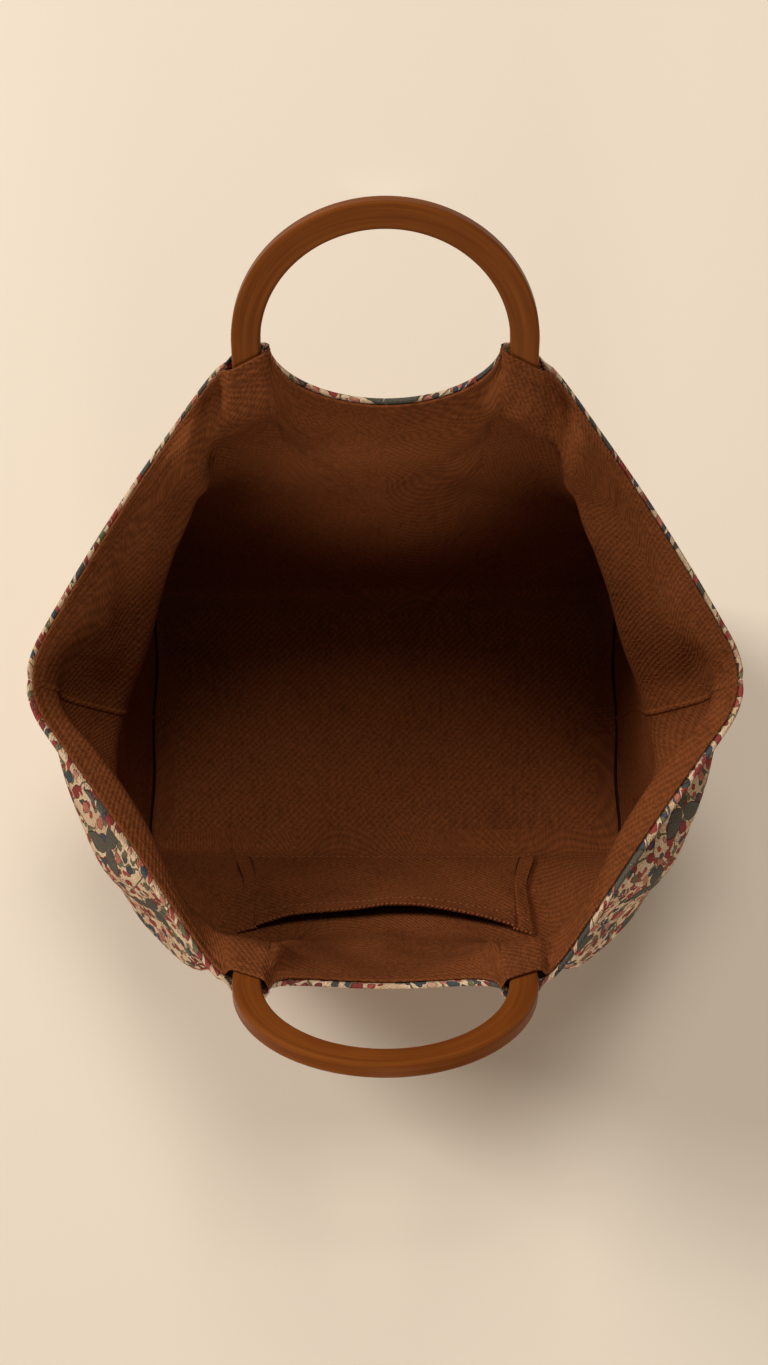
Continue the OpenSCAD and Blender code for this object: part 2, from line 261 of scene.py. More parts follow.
def scoop(peak, lean, share, depth, bow):
    """From the dip at the centre to a peak: across as a sine, down the lean and outwards as a cosine."""
    c = np.cos(share * math.pi / 2)
    x = peak * point(1, 0, 0) * np.sin(share * math.pi / 2)
    return x + peak * point(0, 1, 1) - lean * depth * c - point(0, bow, 0) * c * c


def rim(w):
    """The rim's point at each station of the half bag."""
    back = scoop(BACK_PEAK, BACK_DIR, w, BACK_SCOOP, 0)
    front = scoop(FRONT_PEAK, FRONT_DIR, 6 - w, FRONT_SCOOP, FRONT_BOW)
    ends = np.where(w < 1, back, front)
    return np.where((w < 1) | (w > 5), ends, soft_line(RIM_LINE, w))


def half_wall(w, v):
    """The half bag's wall: a soft line in height through the base, the low swell, the fold, the swell above
    it, the tuck below the lip and the rim, each of which is itself a soft line in station."""
    r, m = rim(w), soft_line(FOLD_LINE, w)
    facing = np.radians(soft_line(FACING_LINE, w))
    out = np.concatenate([np.cos(facing), np.sin(facing), np.zeros_like(facing)], axis=-1)
    lean = np.where(w < SIDE_STATION, BACK_DIR, FRONT_DIR)
    cuffed = soft_line(CUFF_LINE, w)
    upper = m + (r - m) * SWELL_SHARE + out * CORNER_SWELL * soft_line(SWELL_LINE, w)
    neck = m + (r - m) * TUCK_SHARE - out * LIP_TUCK * soft_line(TUCK_LINE, w)
    upper = upper + (r - lean * CUFF - upper) * cuffed
    neck = neck + (r - lean * CUFF * TUCK_CUFF - neck) * cuffed
    return soft_line([
        (LOWEST, soft_line(BASE_INSET, w), 0), (0, soft_line(BASE_EDGE, w), 0.05),
        (0.24, soft_line(LOW_LINE, w), 0.1), (0.5, m, 0.03), (0.72, upper, 0.09), (0.88, neck, 0.05),
        (HIGHEST, r, 0)], v)


def half_station(station):
    """The station on the half bag: how far a station lies from the back's centre, the shorter way round."""
    w = np.mod(station, LAP)
    return np.minimum(w, LAP - w)


def wall(station, height):
    """The whole wall: stations 6 to 12 are the half wall's stations 6 to 0, mirrored left to right."""
    w, v = (a[..., None] for a in np.broadcast_arrays(np.mod(station, LAP), height))
    return half_wall(half_station(w), v) * np.where(w > LAP / 2, point(-1, 1, 1), point(1, 1, 1))


def wall_normal(station, height):
    """The outward normal: the cross product of the wall's slopes in height and in station."""
    dv, dw = 0.004, 0.01
    up = wall(station, np.minimum(height + dv, HIGHEST)) - wall(station, np.maximum(height - dv, LOWEST))
    return unit(np.cross(up, wall(station + dw, height) - wall(station - dw, height)))


def tunnel(p, back, ease):
    """1 on a handle's limb, falling to 0 as half a cosine wave beside it and past its end. The fall is short
    at the rim and grows by the ease below it."""
    lean = np.where(back[..., None], BACK_DIR, FRONT_DIR)
    peak = np.where(back[..., None], BACK_PEAK, FRONT_PEAK) * point(0, 1, 1)
    rise = np.where(back, BACK_RISE, FRONT_RISE)
    along = ((p - peak) * lean).sum(-1)
    beside = np.maximum(np.abs(np.abs(p[..., 0]) - LIMB_X) - TUNNEL_HALF, 0)
    past = np.maximum(rise - LIMB_LENGTH - TUNNEL_END - along, 0)
    fall = TUNNEL_FALL + ease * smooth(*EASE_SPAN, along)
    return (1 + np.cos(math.pi * np.minimum(np.hypot(beside, past) / fall, 1))) / 2


# Creases in the cloth: from and to as (station, height), half width, and depth, outwards where above 0
CREASES = [
    ((0.85, 0.88), (2.15, 0.60), 9.0, -4.0), ((0.70, 0.74), (2.20, 0.50), 13.0, 3.5),
    ((11.1, 0.84), (9.90, 0.64), 11.0, -3.0), ((11.3, 0.70), (9.85, 0.50), 14.0, 2.5),
    ((0.20, 0.62), (1.60, 0.36), 16.0, -2.5), ((11.7, 0.58), (10.2, 0.34), 18.0, -2.0),
    ((2.35, 0.90), (2.72, 0.60), 11.0, 2.5), ((2.62, 0.92), (2.90, 0.66), 8.0, -2.0),
    ((9.62, 0.92), (9.25, 0.62), 10.0, 2.5), ((9.38, 0.90), (9.12, 0.60), 8.0, -2.5),
    ((2.70, 0.44), (2.20, 0.16), 13.0, -3.0), ((9.35, 0.42), (9.75, 0.14), 14.0, -3.0),
    ((3.10, 0.52), (3.55, 0.20), 11.0, 3.0), ((8.90, 0.50), (8.50, 0.18), 12.0, 3.0),
    ((3.40, 0.62), (3.95, 0.40), 10.0, 2.5), ((8.62, 0.64), (8.05, 0.42), 10.0, 2.5),
    ((4.10, 0.60), (4.60, 0.26), 11.0, -2.5), ((7.90, 0.58), (7.45, 0.28), 11.0, -2.5),
    ((5.30, 0.76), (5.90, 0.58), 12.0, 2.0), ((6.80, 0.74), (6.20, 0.60), 13.0, 2.0),
    ((1.70, 0.485), (2.40, 0.465), 13.0, 10.0), ((1.85, 0.515), (2.45, 0.51), 8.0, -4.0),
    ((10.3, 0.485), (9.60, 0.465), 13.0, 10.0), ((10.15, 0.515), (9.55, 0.51), 8.0, -4.0),
    ((1.97, 0.99), (2.12, 0.55), 7.0, 9.0), ((2.14, 0.99), (2.28, 0.52), 9.0, -7.0),
    ((10.03, 0.99), (9.88, 0.55), 7.0, 9.0), ((9.86, 0.99), (9.72, 0.52), 9.0, -7.0)]
# Shares of a crease's length over which it comes in and goes out
CREASE_IN = (-0.15, 0.25)
CREASE_OUT = (1.15, 0.75)


def crease(p, start, end, width, depth):
    """Depth times a bell curve of the distance from the straight line start to end, faded out along it."""
    a, b = (wall(np.array(s), np.array(v)) for s, v in (start, end))
    along = ((p - a) @ (b - a)) / ((b - a) @ (b - a))
    off = np.linalg.norm(p - a - np.clip(along, 0, 1)[..., None] * (b - a), axis=-1)
    return depth * bell(off / width) * smooth(*CREASE_IN, along) * smooth(*CREASE_OUT, along)


# Slow waves in the cloth: height, the way across and the way up that turn the wave by one radian, and phase
WAVES = [(0.8, 21.0, 29.0, 0.4), (0.5, 11.0, -17.0, 1.1)]
# Where the slack comes in: heights above the base and below the rim, and stations from the side seam
SLACK_FOOT = (0.03, 0.14)
SLACK_TOP = (0.99, 0.9)
SLACK_SEAM = (0.0, 0.08)


def slack(p, station, height):
    """How far the two cloth layers together stand off the plain wall: the creases and the slow waves, none of
    it on the base, at the rim, on the tunnels or at the side seams."""
    half = half_station(station)
    x, z = p[..., 0], p[..., 2]
    waves = sum(rise * np.sin(x / across + z / up + phase) for rise, across, up, phase in WAVES)
    total = waves + sum(crease(p, *row) for row in CREASES)
    free = smooth(*SLACK_FOOT, height) * smooth(*SLACK_TOP, height)
    free = free * (1 - tunnel(p, half < SIDE_STATION, SLACK_EASE))
    return total * (free * smooth(*SLACK_SEAM, np.abs(half - SEAM_STATION)))


def layer(station, height, side, depth):
    """The wall moved along its normal by its slack and, to one side, by half the layers' gap and a depth."""
    p = wall(station, height)
    station = np.broadcast_to(station, p.shape[:-1])
    sewn, held = LAYER_GAP / 2, HANDLE_THICKNESS / 2 + LIMB_CLEARANCE
    gap = sewn + (held - sewn) * tunnel(p, half_station(station) < SIDE_STATION, TUNNEL_EASE)
    off = slack(p, station, np.broadcast_to(height, p.shape[:-1])) + side * (gap + depth)
    return p + wall_normal(station, height) * off[..., None]


# Meshes

SHARP_ANGLE = math.radians(50)
EDGE_TURNS = 5
# Rings of a sheet's floor, and how far the last lies from the centre, in ring widths
FLOOR_RINGS = 9
FLOOR_TIP = 0.6


def spread(knots, counts):
    """Values spaced evenly between each pair of knots, by each pair's count."""
    runs = [np.linspace(a, b, n, endpoint=False) for a, b, n in zip(knots, knots[1:], counts)]
    return np.concatenate(runs + [knots[-1:]])


def lengths(points, axis):
    """Distance travelled along one axis of a grid of points, from its start."""
    steps = np.linalg.norm(np.diff(points, axis=axis), axis=-1)
    start = np.zeros_like(np.take(steps, [0], axis=axis))
    return np.concatenate([start, np.cumsum(steps, axis=axis)], axis=axis)


def quads(index, uv):
    """A quad between neighbours of a grid of vertex numbers, with its corners' places on the cloth."""
    def corners(a):
        """The four corners of each cell of a grid, in order round it."""
        return np.stack([a[:-1, :-1], a[1:, :-1], a[1:, 1:], a[:-1, 1:]], axis=2)
    return corners(index).reshape(-1, 4), corners(uv).reshape(-1, 4, 2)


def fan(index, centre, uv, centre_uv):
    """A triangle from each two neighbours of a row of vertex numbers to one centre."""
    faces = np.stack([index[:-1], index[1:], np.full(len(index) - 1, centre)], axis=1)
    return faces, np.stack([uv[:-1], uv[1:], np.broadcast_to(centre_uv, uv[1:].shape)], axis=1)


def flipped(patch, turn):
    """A patch of faces, the corners of each in reverse order where turn is -1."""
    faces, uv = patch
    return faces[:, ::turn], uv[:, ::turn]


def volume(points, patches):
    """Six times the signed volume inside the faces, from the triple products of their corners."""
    total = 0.0
    for faces, _ in patches:
        for k in range(1, faces.shape[1] - 1):
            a, b, c = points[faces[:, 0]], points[faces[:, k]], points[faces[:, k + 1]]
            total += (a * np.cross(b, c)).sum()
    return total


def piece(name, points, patches, material):
    """A smooth closed mesh from points in millimetres and patches of faces, turned outwards, riding on
    the bag."""
    if volume(points, patches) < 0:
        patches = [flipped(patch, -1) for patch in patches]
    mesh = bpy.data.meshes.new(name)
    mesh.from_pydata((points * MM).tolist(), [], [f for faces, _ in patches for f in faces.tolist()])
    layer_uv = mesh.uv_layers.new(name="cloth")
    layer_uv.data.foreach_set("uv", np.concatenate([uv.reshape(-1, 2) for _, uv in patches]).ravel() * MM)
    mesh.polygons.foreach_set("use_smooth", np.ones(len(mesh.polygons), bool))
    mesh.set_sharp_from_angle(angle=SHARP_ANGLE)
    mesh.materials.append(material)
    obj = new_object(name, mesh)
    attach(obj, "root")
    return obj


def rounded_edge(outer, inner, up, turns):
    """Half a circle of points from an outer edge over to an inner one, standing up from them."""
    angle = np.linspace(0, math.pi, turns + 2)[1:-1][:, None, None]
    mid, half = (outer + inner) / 2, (outer - inner) / 2
    radius = np.linalg.norm(half, axis=-1, keepdims=True)
    return np.moveaxis(mid + half * np.cos(angle) + up * radius * np.sin(angle), 0, 1)


def sheet(name, outer, inner, closed, material):
    """A cloth sheet between an outer and an inner grid of points, columns by rows up the wall: the two faces,
    a rounded top edge, a floor drawn in rings to the base's centre and, where it isn't closed round, its two
    ends. Its place on the cloth is the length up each column and, across, half way between the length along
    each row and the mean of those lengths, which shares out shear and stretch. On the floor it is x and y."""
    columns, rows = outer.shape[:2]
    up = unit(outer[:, -1] - outer[:, -2])
    edge = rounded_edge(outer[:, -1], inner[:, -1], up, EDGE_TURNS)
    section = np.concatenate([outer, edge, inner[:, ::-1]], axis=1)
    middle = columns // 2
    across = lengths(section, 0)
    across = across - across[middle]
    across = (across + across.mean(1, keepdims=True)) / 2
    uv = np.stack([across, lengths(section, 1)], axis=-1)
    mids = [(g[0, 0] + g[middle if closed else -1, 0]) / 2 for g in (outer, inner)]
    shares = np.arange(1, FLOOR_RINGS + 1)[None, :, None] / (FLOOR_RINGS + FLOOR_TIP)
    floors = [g[:, :1] + (mid - g[:, :1]) * shares for g, mid in zip((outer, inner), mids)]

    kept = columns - 1 if closed else columns
    parts = [section[:kept], floors[0][:kept], floors[1][:kept]]
    points = np.concatenate([p.reshape(-1, 3) for p in parts] + [np.array(mids)])
    starts = np.cumsum([0] + [p.shape[0] * p.shape[1] for p in parts])
    grids = []
    for start, part in zip(starts, parts):
        grid = start + np.arange(part.shape[0] * part.shape[1]).reshape(part.shape[:2])
        grids.append(np.vstack([grid, grid[:1]]) if closed else grid)
    body, under, floor = grids
    under = np.hstack([body[:, :1], under])
    floor = np.hstack([body[:, -1:], floor])
    centres = [len(points) - 2, len(points) - 1]

    patches = [quads(body, uv)]
    for grid, centre, turn in ((under, centres[0], -1), (floor, centres[1], 1)):
        flat = points[grid][..., :2]
        tip = fan(grid[:, -1], centre, flat[:, -1], points[centre, :2])
        patches += [flipped(quads(grid, flat), turn), flipped(tip, turn)]
    if not closed:
        reach = rows + EDGE_TURNS // 2
        for end, turn in ((0, 1), (-1, -1)):
            outside = np.concatenate([[centres[0]], under[end, ::-1], body[end, 1:reach]])
            inside = np.concatenate([[centres[1]], floor[end, ::-1], body[end, ::-1][1:reach]])
            strip = np.stack([outside, inside])
            patches.append(flipped(quads(strip, points[strip][..., 1:]), turn))
    return piece(name, points, patches, material)


def swept(path, normal, side, section):
    """A section's (across, out) points carried along a path: path + side * across + normal * out."""
    return path[:, None] + side[:, None] * section[None, :, :1] + normal[:, None] * section[None, :, 1:]


def bar(name, grid, material):
    """A closed bar from a grid (along by round): its skin and a face on each end. Its place on the cloth is
    the length along it and round it."""
    n, m = grid.shape[:2]
    index = np.arange(n * m).reshape(n, m)
    index = np.hstack([index, index[:, :1]])
    looped = np.concatenate([grid, grid[:, :1]], axis=1)
    along = np.broadcast_to(lengths(looped, 0).mean(1, keepdims=True), (n, m + 1))
    uv = np.stack([along, lengths(looped, 1)], -1)
    ends = [flipped((index[:1, :-1], uv[:1, :-1]), -1), (index[-1:, :-1], uv[-1:, :-1])]
    patches = [flipped(quads(index, uv), -1)] + ends
    return piece(name, grid.reshape(-1, 3), patches, material)


STITCH_RINGS = np.array([-1.0, -0.72, -0.25, 0.25, 0.72, 1.0])
STITCH_SIDES = 6
STITCH_TAPER = 0.9
STITCH_LIFT = 0.5


def stitches(name, runs, length, gap, radius, material, slot):
    """Thread stitches along runs of (path, normal): each is a bead, radius * sqrt(1 - taper * t^2) round and
    raised by radius * (lift - taper * t^2), t going from -1 to 1 along it, so that both ends dip into the
    cloth."""
    beads = []
    for path, normal in runs:
        way = lengths(path, 0)
        count = max(int(way[-1] // (length + gap)), 1)
        pitch = way[-1] / count
        at = (np.arange(count)[:, None] + 0.5) * pitch + STITCH_RINGS[None, :] * (pitch - gap) / 2
        centre, out = (np.stack([np.interp(at, way, a[:, k]) for k in range(3)], -1) for a in (path, normal))
        along = unit(np.gradient(centre, axis=1))
        out = unit(out)
        side = np.cross(along, out)
        turn = np.linspace(0, 2 * math.pi, STITCH_SIDES, endpoint=False)[None, None, :, None]
        thick = radius * np.sqrt(1 - STITCH_TAPER * STITCH_RINGS ** 2)[None, :, None, None]
        dip = radius * (STITCH_LIFT - STITCH_TAPER * STITCH_RINGS ** 2)[None, :, None, None]
        ring = side[:, :, None] * np.cos(turn) + out[:, :, None] * np.sin(turn)
        beads.append(centre[:, :, None] + out[:, :, None] * dip + ring * thick)
    beads = np.concatenate(beads)
    count, rings, sides = beads.shape[:3]
    index = np.arange(rings * sides).reshape(rings, sides)
    skin = quads(np.hstack([index, index[:, :1]]), np.zeros((rings, sides + 1, 2)))[0]
    shift = (np.arange(count) * rings * sides)[:, None, None]
    tubes = (skin[None] + shift).reshape(-1, 4)
    caps = np.concatenate([(end[None] + shift).reshape(-1, sides) for end in (index[:1, ::-1], index[-1:])])
    patches = [(tubes, np.zeros((len(tubes), 4, 2))), (caps[:, ::-1], np.zeros((len(caps), sides, 2)))]
    return piece(name, beads.reshape(-1, 3), patches, material)


# Materials

def linear(colour):
    """sRGB hex to linear RGBA: each channel c is c / 12.92 up to 0.04045, and ((c + 0.055) / 1.055)^2.4 above
    it."""
    c = np.array([int(colour[i:i + 2], 16) for i in (1, 3, 5)]) / 255
    c = np.where(c <= 0.04045, c / 12.92, ((c + 0.055) / 1.055) ** 2.4)
    return (*c.tolist(), 1.0)


def add(tree, kind, inputs=(), **settings):
    """Adds a node. Settings are its properties; inputs give each socket, by name or number, a value, a
    socket to link or a node, which stands for its first output."""
    node = tree.nodes.new(kind)
    for name, value in settings.items():
        setattr(node, name, value)
    for socket, value in dict(inputs).items():
        if isinstance(value, bpy.types.Node):
            value = value.outputs[0]
        if isinstance(value, bpy.types.NodeSocket):
            tree.links.new(value, node.inputs[socket])
        else:
            node.inputs[socket].default_value = value
    return node


def set_stops(ramp_node, stops):
    """Gives a colour ramp its stops, each a place from 0 to 1 and a hex colour."""
    elements = ramp_node.color_ramp.elements
    while len(elements) < len(stops):
        elements.new(0.5)
    for element, (place, colour) in zip(elements, stops):
        element.position = place
        element.color = linear(colour)


def new_material(name):
    """A material with one principled shader, and its tree."""
    material = bpy.data.materials.new(name)
    material.use_nodes = True
    tree = material.node_tree
    tree.nodes.clear()
    shader = add(tree, "ShaderNodeBsdfPrincipled")
    add(tree, "ShaderNodeOutputMaterial", {"Surface": shader.outputs["BSDF"]})
    return material, tree, shader


def finish_shader(tree, shader, colour, height, strength, depth, roughness, specular):
    """Links the colour's node and a bump from the height's node, of a depth in millimetres, to a shader, and
    sets its roughness and specular level."""
    bump = add(tree, "ShaderNodeBump", {"Strength": strength, "Distance": depth * MM, "Height": height})
    tree.links.new(colour.outputs[0], shader.inputs["Base Color"])
    tree.links.new(bump.outputs[0], shader.inputs["Normal"])
    shader.inputs["Roughness"].default_value = roughness
    shader.inputs["Specular IOR Level"].default_value = specular


def per_mm(size):
    """A texture's scale for features of a size in millimetres, on coordinates in metres."""
    return 1000.0 / size


def wave_scale(period):
    """A wave texture's scale for a period in millimetres: its sine runs through 20 radians per unit."""
    return 2 * math.pi / 20 * 1000.0 / period


def weave(tree, cloth, warp, weft):
    """Height of a plain weave from -1 to 1: a wave across times a wave along, each of twice its threads'
    spacing, so that every other crossing stands up. Both wander a little, as real threads do."""
    signed = []
    for way, spacing in (("X", warp), ("Y", weft)):
        wave = add(tree, "ShaderNodeTexWave",
                   {"Vector": cloth, "Scale": wave_scale(2 * spacing), "Distortion": 6.0, "Detail": 1.0,
                    "Detail Scale": 2.2},
                   wave_type="BANDS", bands_direction=way, wave_profile="SIN")
        swing = add(tree, "ShaderNodeMath", {0: wave.outputs["Fac"], 1: 2.0, 2: -1.0},
                    operation="MULTIPLY_ADD")
        signed.append(swing)
    return add(tree, "ShaderNodeMath", {0: signed[0], 1: signed[1]}, operation="MULTIPLY")


# Woven figures: cell spacing, radius, lobes and slimness, the widths of heart and outline, and the colours
FIGURES = [
    dict(cell=7.0, radius=5.8, lobes=1, slim=1.0, heart=0.0, edge=0.35,
         fills=("#9A453A", "#86403A", "#BA7A64", "#756C50", "#A84E45", "#55504C", "#C69C7E"),
         heart_colour="#C9B48A"),
    dict(cell=11.0, radius=7.0, lobes=1, slim=1.0, heart=0.0, edge=0.45,
         fills=("#4C4E52", "#98423A", "#706A4E", "#B66E5A", "#903E38"), heart_colour="#C9B48A"),
    dict(cell=38.0, radius=7.5, lobes=5, slim=0.6, heart=1.8, edge=0.5,
         fills=("#7E3833", "#474D5A", "#8F5444"), heart_colour="#C7A873"),
    dict(cell=66.0, radius=21.0, lobes=3, slim=0.8, heart=0.0, edge=1.1,
         fills=("#595449", "#5E574A", "#545048"), heart_colour="#595449")]
FIGURE_LINE = "#40332B"
STEM_COLOUR = "#75664A"


def woven_figures(tree, cloth, ragged, under, figure):
    """One kind of figure in the centre of each cell of a Voronoi field, turned by the cell's random angle: it
    is where r is below radius * t^slim, r being the distance from the cell's centre and t going evenly in
    angle from 1 at a lobe's tip to 0 half way to the next."""
    cells = add(tree, "ShaderNodeTexVoronoi",
                {"Vector": cloth, "Scale": per_mm(figure["cell"]), "Randomness": 0.62},
                voronoi_dimensions="2D", feature="F1")
    local = add(tree, "ShaderNodeVectorMath", {0: cloth, 1: cells.outputs["Position"]}, operation="SUBTRACT")
    place = add(tree, "ShaderNodeSeparateXYZ", {0: local}).outputs
    chance = add(tree, "ShaderNodeSeparateColor", {0: cells.outputs["Color"]}).outputs
    angle = add(tree, "ShaderNodeMath", {0: place["Y"], 1: place["X"]}, operation="ARCTAN2")
    turned = add(tree, "ShaderNodeMath", {0: chance[0], 1: 2 * math.pi, 2: angle}, operation="MULTIPLY_ADD")
    phase = add(tree, "ShaderNodeMath", {0: turned, 1: figure["lobes"] / 2}, operation="MULTIPLY")
    off_axis = add(tree, "ShaderNodeMath", {0: phase, 1: math.pi / 2}, operation="PINGPONG")
    petal = add(tree, "ShaderNodeMath", {0: off_axis, 1: -2 / math.pi, 2: 1.0}, operation="MULTIPLY_ADD")
    shaped = add(tree, "ShaderNodeMath", {0: petal, 1: figure["slim"]}, operation="POWER")
    border = add(tree, "ShaderNodeMath", {0: shaped, 1: figure["radius"] * MM}, operation="MULTIPLY")
    reach = add(tree, "ShaderNodeVectorMath", {0: local}, operation="LENGTH").outputs["Value"]
    frayed = add(tree, "ShaderNodeMath", {0: reach, 1: ragged}, operation="ADD")
    depth = add(tree, "ShaderNodeMath", {0: border, 1: frayed}, operation="SUBTRACT")
    line = add(tree, "ShaderNodeMath", {0: depth, 1: 0.0}, operation="GREATER_THAN")
    fill = add(tree, "ShaderNodeMath", {0: depth, 1: figure["edge"] * MM}, operation="GREATER_THAN")
    heart = add(tree, "ShaderNodeMath", {0: frayed, 1: figure["heart"] * MM}, operation="LESS_THAN")
    dyes = add(tree, "ShaderNodeValToRGB", {0: chance[1]})
    dyes.color_ramp.interpolation = "CONSTANT"
    fills = figure["fills"]
    set_stops(dyes, [(k / len(fills), colour) for k, colour in enumerate(fills)])
    colour = under
    for mask, top in ((line, linear(FIGURE_LINE)), (fill, dyes),
                      (heart, linear(figure["heart_colour"]))):
        layered = add(tree, "ShaderNodeMix", {0: mask, 6: colour, 7: top}, data_type="RGBA")
        colour = layered.outputs[2]
    return colour


def woven_tapestry():
    """Wool and cotton tapestry, jacquard woven: a cream ground with small dark leaves and flowers, matt, with
    ribs that show as fine rows of thread. The real ribs are 0.9 mm apart; they are drawn at 1.5 mm to
    show."""
    material, tree, shader = new_material("wool tapestry, jacquard woven")
    cloth = add(tree, "ShaderNodeUVMap", uv_map="cloth")
    drift = add(tree, "ShaderNodeTexNoise", {"Vector": cloth, "Scale": per_mm(26.0), "Detail": 0.0},
                noise_dimensions="2D")
    bent = add(tree, "ShaderNodeMix", {0: 0.0045, 4: cloth, 5: drift.outputs["Color"]},
               data_type="VECTOR").outputs[1]
    rag = add(tree, "ShaderNodeTexNoise", {"Vector": cloth, "Scale": per_mm(2.2), "Detail": 2.0},
              noise_dimensions="2D")
    ragged = add(tree, "ShaderNodeMath", {0: rag, 1: 0.5 * MM, 2: -0.25 * MM}, operation="MULTIPLY_ADD")
    tone = add(tree, "ShaderNodeTexNoise", {"Vector": cloth, "Scale": per_mm(22.0), "Detail": 3.0},
               noise_dimensions="2D")
    ground = add(tree, "ShaderNodeValToRGB", {0: tone})
    set_stops(ground, [(0.38, "#CFAB86"), (0.62, "#DFC09C")])
    stems = add(tree, "ShaderNodeTexVoronoi", {"Vector": bent, "Scale": per_mm(21.0), "Randomness": 1.0},
                voronoi_dimensions="2D", feature="DISTANCE_TO_EDGE")
    stem = add(tree, "ShaderNodeMath", {0: stems.outputs["Distance"], 1: 0.028}, operation="LESS_THAN")
    colour = add(tree, "ShaderNodeMix", {0: stem, 6: ground, 7: linear(STEM_COLOUR)},
                 data_type="RGBA").outputs[2]
    for figure in FIGURES:
        colour = woven_figures(tree, bent, ragged, colour, figure)
    height = weave(tree, cloth, 1.5, 1.2)
    # Painted shade and highlight: the colour is darkened where the weave is low and lightened where it is
    # high, as well as bumped.
    shade = add(tree, "ShaderNodeMapRange", {0: height, 1: -1.0, 3: 0.78, 4: 1.12})
    lit = add(tree, "ShaderNodeVectorMath", {0: colour, 3: shade}, operation="SCALE")
    finish_shader(tree, shader, lit, height, strength=0.5, depth=0.5, roughness=0.92, specular=0.06)
    return material


def brown_canvas():
    """Cotton canvas, plain woven and dyed brown: matt, with close nubs where threads cross and slubs along
    them. The real threads are about 1.3 mm apart; they are drawn at 2.5 mm to show."""
    material, tree, shader = new_material("cotton canvas, plain woven")
    cloth = add(tree, "ShaderNodeUVMap", uv_map="cloth")
    stretched = add(tree, "ShaderNodeMapping", {"Vector": cloth, "Scale": (1.0, 0.3, 1.0)})
    slubs = add(tree, "ShaderNodeTexNoise", {"Vector": stretched, "Scale": per_mm(3.4), "Detail": 2.0},
                noise_dimensions="2D")
    worn = add(tree, "ShaderNodeTexNoise", {"Vector": cloth, "Scale": per_mm(55.0), "Detail": 3.0},
               noise_dimensions="2D")
    mixed = add(tree, "ShaderNodeMath", {0: slubs, 1: worn}, operation="ADD")
    # The ramp reads a sum that runs from about 0.7 to 1.3, so its upper stop is where most of the cloth lies.
    ramp_colour = add(tree, "ShaderNodeValToRGB", {0: mixed})
    set_stops(ramp_colour, [(0.6, "#643418"), (1.0, "#733D1D")])
    height = weave(tree, cloth, 2.5, 2.5)
    # Painted shade and highlight: the colour is darkened where the weave is low and lightened on the
    # crossings, as well as bumped.
    shade = add(tree, "ShaderNodeMapRange", {0: height, 1: -1.0, 3: 0.7, 4: 1.26})
    lit = add(tree, "ShaderNodeVectorMath", {0: ramp_colour, 3: shade}, operation="SCALE")
    finish_shader(tree, shader, lit, height, strength=0.4, depth=0.5, roughness=0.88, specular=0.06)
    return material


def bent_wood():
    """Beech, bent and varnished to a satin: warm brown with fine darker grain along the bend and a soft
    highlight."""
    material, tree, shader = new_material("beech, bent, satin varnish")
    length = add(tree, "ShaderNodeUVMap", uv_map="cloth")
    drawn = add(tree, "ShaderNodeMapping", {"Vector": length, "Scale": (0.03, 1.0, 1.0)})
    grain = add(tree, "ShaderNodeTexNoise", {"Vector": drawn, "Scale": per_mm(2.2), "Detail": 4.0},
                noise_dimensions="2D")
    broad = add(tree, "ShaderNodeTexNoise", {"Vector": length, "Scale": per_mm(60.0), "Detail": 2.0},
                noise_dimensions="2D")
    figure = add(tree, "ShaderNodeMath", {0: broad, 1: 0.45, 2: grain}, operation="MULTIPLY_ADD")
    colours = add(tree, "ShaderNodeValToRGB", {0: figure})
    set_stops(colours, [(0.45, "#6A3412"), (0.72, "#763D15"), (1.0, "#81461A")])
    finish_shader(tree, shader, colours, grain, strength=0.06, depth=0.3, roughness=0.42, specular=0.15)
    shader.inputs["Specular Tint"].default_value = linear("#D9894A")
    return material


def painted_seam_shadow():
    """Painted shadow along the boxed seams: dark brown, matt cloth that stands for the shade in the seams'
    gap, with a close plain weave that shows as fine nubs. The threads are drawn 1.0 mm apart; a real tape's
    are about 0.6 mm."""
    material, tree, shader = new_material("dark cloth, painted seam shadow")
    cloth = add(tree, "ShaderNodeUVMap", uv_map="cloth")
    height = weave(tree, cloth, 1.0, 1.0)
    # Painted shade: the weave's hollows are coloured darker than its nubs, on top of the painted seam shadow.
    share = add(tree, "ShaderNodeMapRange", {0: height, 1: -1.0})
    ramp_colour = add(tree, "ShaderNodeValToRGB", {0: share})
    set_stops(ramp_colour, [(0.2, "#1F0F08"), (0.8, "#2D170C")])
    finish_shader(tree, shader, ramp_colour, height, strength=0.4, depth=0.3, roughness=0.9, specular=0.06)
    return material


def sewing_thread(name, dark, light):
    """Polyester thread, spun: its fibres show as flecks of a darker and a lighter tone, with a faint sheen.
    The real flecks are about 0.3 mm long; they are drawn at 0.8 mm to show."""
    material, tree, shader = new_material(name)
    place = add(tree, "ShaderNodeTexCoord").outputs["Object"]
    flecks = add(tree, "ShaderNodeTexNoise", {"Vector": place, "Scale": per_mm(0.8), "Detail": 2.0})
    ramp_colour = add(tree, "ShaderNodeValToRGB", {0: flecks})
    set_stops(ramp_colour, [(0.4, dark), (0.6, light)])
    finish_shader(tree, shader, ramp_colour, flecks, strength=0.3, depth=0.2, roughness=0.7, specular=0.1)
    return material


TAPESTRY = woven_tapestry()
CANVAS = brown_canvas()
WOOD = bent_wood()
# Painted shadow: the dark cloth for the boxed seams stands for the shade in their gap.
SEAM_SHADOW_CLOTH = painted_seam_shadow()
THREAD = sewing_thread("polyester thread, light brown", "#703D21", "#884D2B")
# Painted shade: the dark thread in the pocket's side grooves stands for the shade in them.
GROOVE_SHADE_THREAD = sewing_thread("dark thread, painted groove shade", "#241109", "#34190D")


# Tapestry panels and lining

